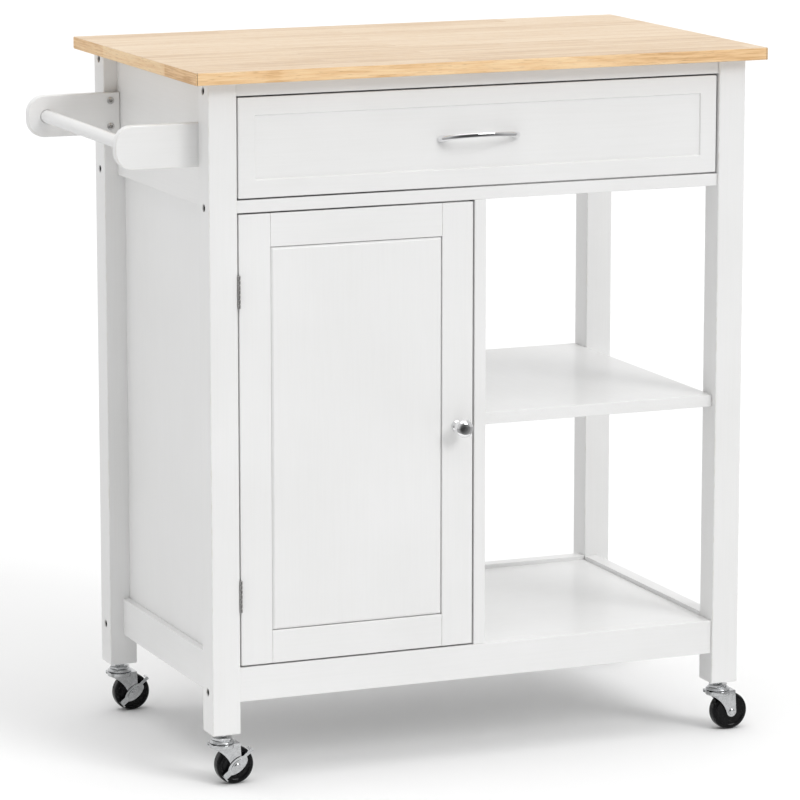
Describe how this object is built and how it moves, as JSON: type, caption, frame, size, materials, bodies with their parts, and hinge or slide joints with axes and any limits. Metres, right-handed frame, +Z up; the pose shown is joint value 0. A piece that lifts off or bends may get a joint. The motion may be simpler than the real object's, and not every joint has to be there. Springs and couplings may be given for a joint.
{
  "type": "kitchen island cart",
  "caption": "Rolling kitchen cart with a wooden worktop, a drawer, a cupboard, an open shelved bay, a side towel rack and swivel casters.",
  "frame": {"origin": "on the floor, under the middle of the cart's bounding box, with the towel rack, door knob and wheels included", "axes": "+X to the right of someone facing the drawer and door, -Y out of the drawer and door, +Z up"},
  "size_m": [0.823, 0.4564, 0.863],
  "materials": {
    "white_paint": "satin white paint over wood, with a faint grain",
    "worktop_wood": "clear satin lacquer on finger-jointed rubberwood",
    "chrome": "polished",
    "zinc_plate": "bright zinc plate",
    "hinge_steel": "nickel plate",
    "wheel_black": "gloss",
    "catch_plastic": "matt"
  },
  "bodies": {
    "carcass": {"worktop": "worktop_wood", "leg_front_left": "white_paint", "leg_front_right": "white_paint", "leg_back_left": "white_paint", "leg_back_right": "white_paint", "front_top_rail": "white_paint", "front_middle_rail": "white_paint", "front_bottom_rail": "white_paint", "left_top_rail": "white_paint", "left_side_panel": "white_paint", "left_bottom_rail": "white_paint", "right_top_rail": "white_paint", "right_bottom_rail": "white_paint", "back_top_rail": "white_paint", "back_bottom_rail": "white_paint", "cabinet_back_panel": "white_paint", "divider_panel": "white_paint", "bottom_shelf": "white_paint", "middle_shelf": "white_paint", "cabinet_shelf": "white_paint", "rack_bracket_front": "white_paint", "rack_bracket_rear": "white_paint", "rack_bar": "white_paint", "runner_left_outer": "zinc_plate", "runner_right_outer": "zinc_plate", "hinge_upper_frame_leaf": "hinge_steel", "hinge_lower_frame_leaf": "hinge_steel", "door_catch": "catch_plastic", "caster_front_left_head": "zinc_plate", "caster_back_left_head": "zinc_plate", "caster_front_right_head": "zinc_plate", "caster_back_right_head": "zinc_plate"},
    "drawer": {"drawer_front": "white_paint", "drawer_side_left": "white_paint", "drawer_side_right": "white_paint", "drawer_back": "white_paint", "drawer_bottom": "white_paint", "drawer_pull": "chrome", "runner_left_inner": "zinc_plate", "runner_right_inner": "zinc_plate"},
    "door": {"door_stile_hinge_side": "white_paint", "door_stile_knob_side": "white_paint", "door_rail_top": "white_paint", "door_rail_bottom": "white_paint", "door_panel": "white_paint", "door_knob": "chrome", "hinge_upper_door_leaf": "hinge_steel", "hinge_lower_door_leaf": "hinge_steel", "catch_strike": "zinc_plate"},
    "caster_front_left_fork_body": {"caster_front_left_fork": "zinc_plate"},
    "caster_front_left_wheel_body": {"caster_front_left_wheel": "wheel_black"},
    "caster_front_left_brake_body": {"caster_front_left_brake": "zinc_plate"},
    "caster_back_left_fork_body": {"caster_back_left_fork": "zinc_plate"},
    "caster_back_left_wheel_body": {"caster_back_left_wheel": "wheel_black"},
    "caster_back_left_brake_body": {"caster_back_left_brake": "zinc_plate"},
    "caster_front_right_fork_body": {"caster_front_right_fork": "zinc_plate"},
    "caster_front_right_wheel_body": {"caster_front_right_wheel": "wheel_black"},
    "caster_back_right_fork_body": {"caster_back_right_fork": "zinc_plate"},
    "caster_back_right_wheel_body": {"caster_back_right_wheel": "wheel_black"}
  },
  "joints": [
    {"name": "drawer_slide", "type": "slide", "parent": "carcass", "child": "drawer", "axis": [0, -1, 0], "range_m": [0, 0.25]},
    {"name": "door_swing", "type": "hinge", "parent": "carcass", "child": "door", "pos_m": [-0.27275, -0.20495, 0.416], "axis": [0, 0, -1], "range_deg": [0, 170]},
    {"name": "caster_front_left_swivel", "type": "hinge", "parent": "carcass", "child": "caster_front_left_fork_body", "pos_m": [-0.29175, -0.186, 0.05], "axis": [0, 0, 1], "continuous": true},
    {"name": "caster_front_left_roll", "type": "hinge", "parent": "caster_front_left_fork_body", "child": "caster_front_left_wheel_body", "pos_m": [-0.27725, -0.186, 0.0235], "axis": [0, 1, 0], "continuous": true},
    {"name": "caster_front_left_brake_tilt", "type": "hinge", "parent": "caster_front_left_fork_body", "child": "caster_front_left_brake_body", "pos_m": [-0.27725, -0.186, 0.0235], "axis": [0, 1, 0], "range_deg": [0, 20]},
    {"name": "caster_back_left_swivel", "type": "hinge", "parent": "carcass", "child": "caster_back_left_fork_body", "pos_m": [-0.29175, 0.1925, 0.05], "axis": [0, 0, 1], "continuous": true},
    {"name": "caster_back_left_roll", "type": "hinge", "parent": "caster_back_left_fork_body", "child": "caster_back_left_wheel_body", "pos_m": [-0.27725, 0.1925, 0.0235], "axis": [0, 1, 0], "continuous": true},
    {"name": "caster_back_left_brake_tilt", "type": "hinge", "parent": "caster_back_left_fork_body", "child": "caster_back_left_brake_body", "pos_m": [-0.27725, 0.1925, 0.0235], "axis": [0, 1, 0], "range_deg": [0, 20]},
    {"name": "caster_front_right_swivel", "type": "hinge", "parent": "carcass", "child": "caster_front_right_fork_body", "pos_m": [0.37275, -0.186, 0.05], "axis": [0, 0, 1], "continuous": true},
    {"name": "caster_front_right_roll", "type": "hinge", "parent": "caster_front_right_fork_body", "child": "caster_front_right_wheel_body", "pos_m": [0.38725, -0.186, 0.0235], "axis": [0, 1, 0], "continuous": true},
    {"name": "caster_back_right_swivel", "type": "hinge", "parent": "carcass", "child": "caster_back_right_fork_body", "pos_m": [0.37275, 0.1925, 0.05], "axis": [0, 0, 1], "continuous": true},
    {"name": "caster_back_right_roll", "type": "hinge", "parent": "caster_back_right_fork_body", "child": "caster_back_right_wheel_body", "pos_m": [0.38725, 0.1925, 0.0235], "axis": [0, 1, 0], "continuous": true}
  ]
}
